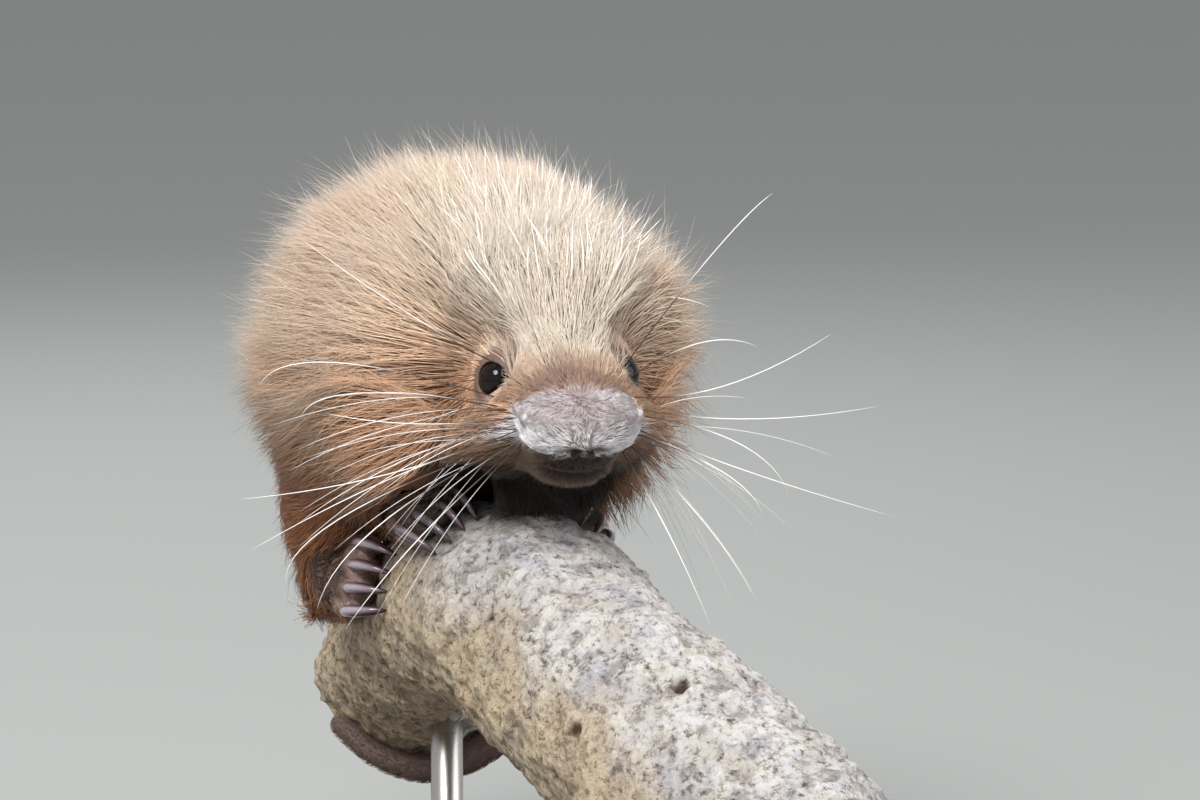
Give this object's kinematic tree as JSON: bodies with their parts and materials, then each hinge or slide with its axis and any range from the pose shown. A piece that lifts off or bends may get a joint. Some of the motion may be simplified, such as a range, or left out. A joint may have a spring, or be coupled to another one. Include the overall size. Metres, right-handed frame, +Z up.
{
  "type": "young porcupine model on a branch",
  "caption": "Still life-size model of a young tree porcupine in a long soft coat with pale quills, crouched on a cut length of branch held over a flat base by two rods.",
  "frame": {"origin": "middle of the underside of the stand's base", "axes": "+Z up, the animal faces -Y with its head turned a little to its own right, which is -X"},
  "size_m": [0.15, 0.251, 0.2004],
  "materials": {
    "coat": "long soft hair, rusty orange and straw at the sides and pale cream on the crown, darker at the roots, with white quills",
    "tail_coat": "short flat brown hair with ringed bare skin under the last length",
    "muzzle_skin": "greyish pink skin under very short whitish down, moist and darker at the nostrils",
    "bare_skin": "warm grey brown pebbled skin with sparse short hair",
    "eye": "very dark brown, wet and glossy",
    "claw_horn": "dark purplish horn, smooth, paler along the top",
    "bark": "pale grey buff bark with dark furrows and lichen specks, sawn ends with rings",
    "stand_wood": "dark stained wood, satin",
    "stand_metal": "satin steel"
  },
  "bodies": {
    "root": {"stand_base": "stand_wood", "stand_rod_front": "stand_metal", "stand_rod_rear": "stand_metal", "perch_branch": "bark", "head": "coat", "lower_jaw": "muzzle_skin", "ear_right": "bare_skin", "ear_left": "bare_skin", "eye_right": "eye", "eye_left": "eye", "neck": "coat", "torso": "coat", "rump": "coat", "tail_base": "tail_coat", "tail_middle": "tail_coat", "tail_tip": "tail_coat", "leg_fore_right": "coat", "foot_fore_right": "bare_skin", "claw_fore_right_1": "claw_horn", "claw_fore_right_2": "claw_horn", "claw_fore_right_3": "claw_horn", "claw_fore_right_4": "claw_horn", "leg_fore_left": "coat", "foot_fore_left": "bare_skin", "claw_fore_left_1": "claw_horn", "claw_fore_left_2": "claw_horn", "claw_fore_left_3": "claw_horn", "claw_fore_left_4": "claw_horn", "leg_hind_right": "coat", "foot_hind_right": "bare_skin", "claw_hind_right_1": "claw_horn", "claw_hind_right_2": "claw_horn", "claw_hind_right_3": "claw_horn", "claw_hind_right_4": "claw_horn", "leg_hind_left": "coat", "foot_hind_left": "bare_skin", "claw_hind_left_1": "claw_horn", "claw_hind_left_2": "claw_horn", "claw_hind_left_3": "claw_horn", "claw_hind_left_4": "claw_horn"}
  },
  "joints": []
}
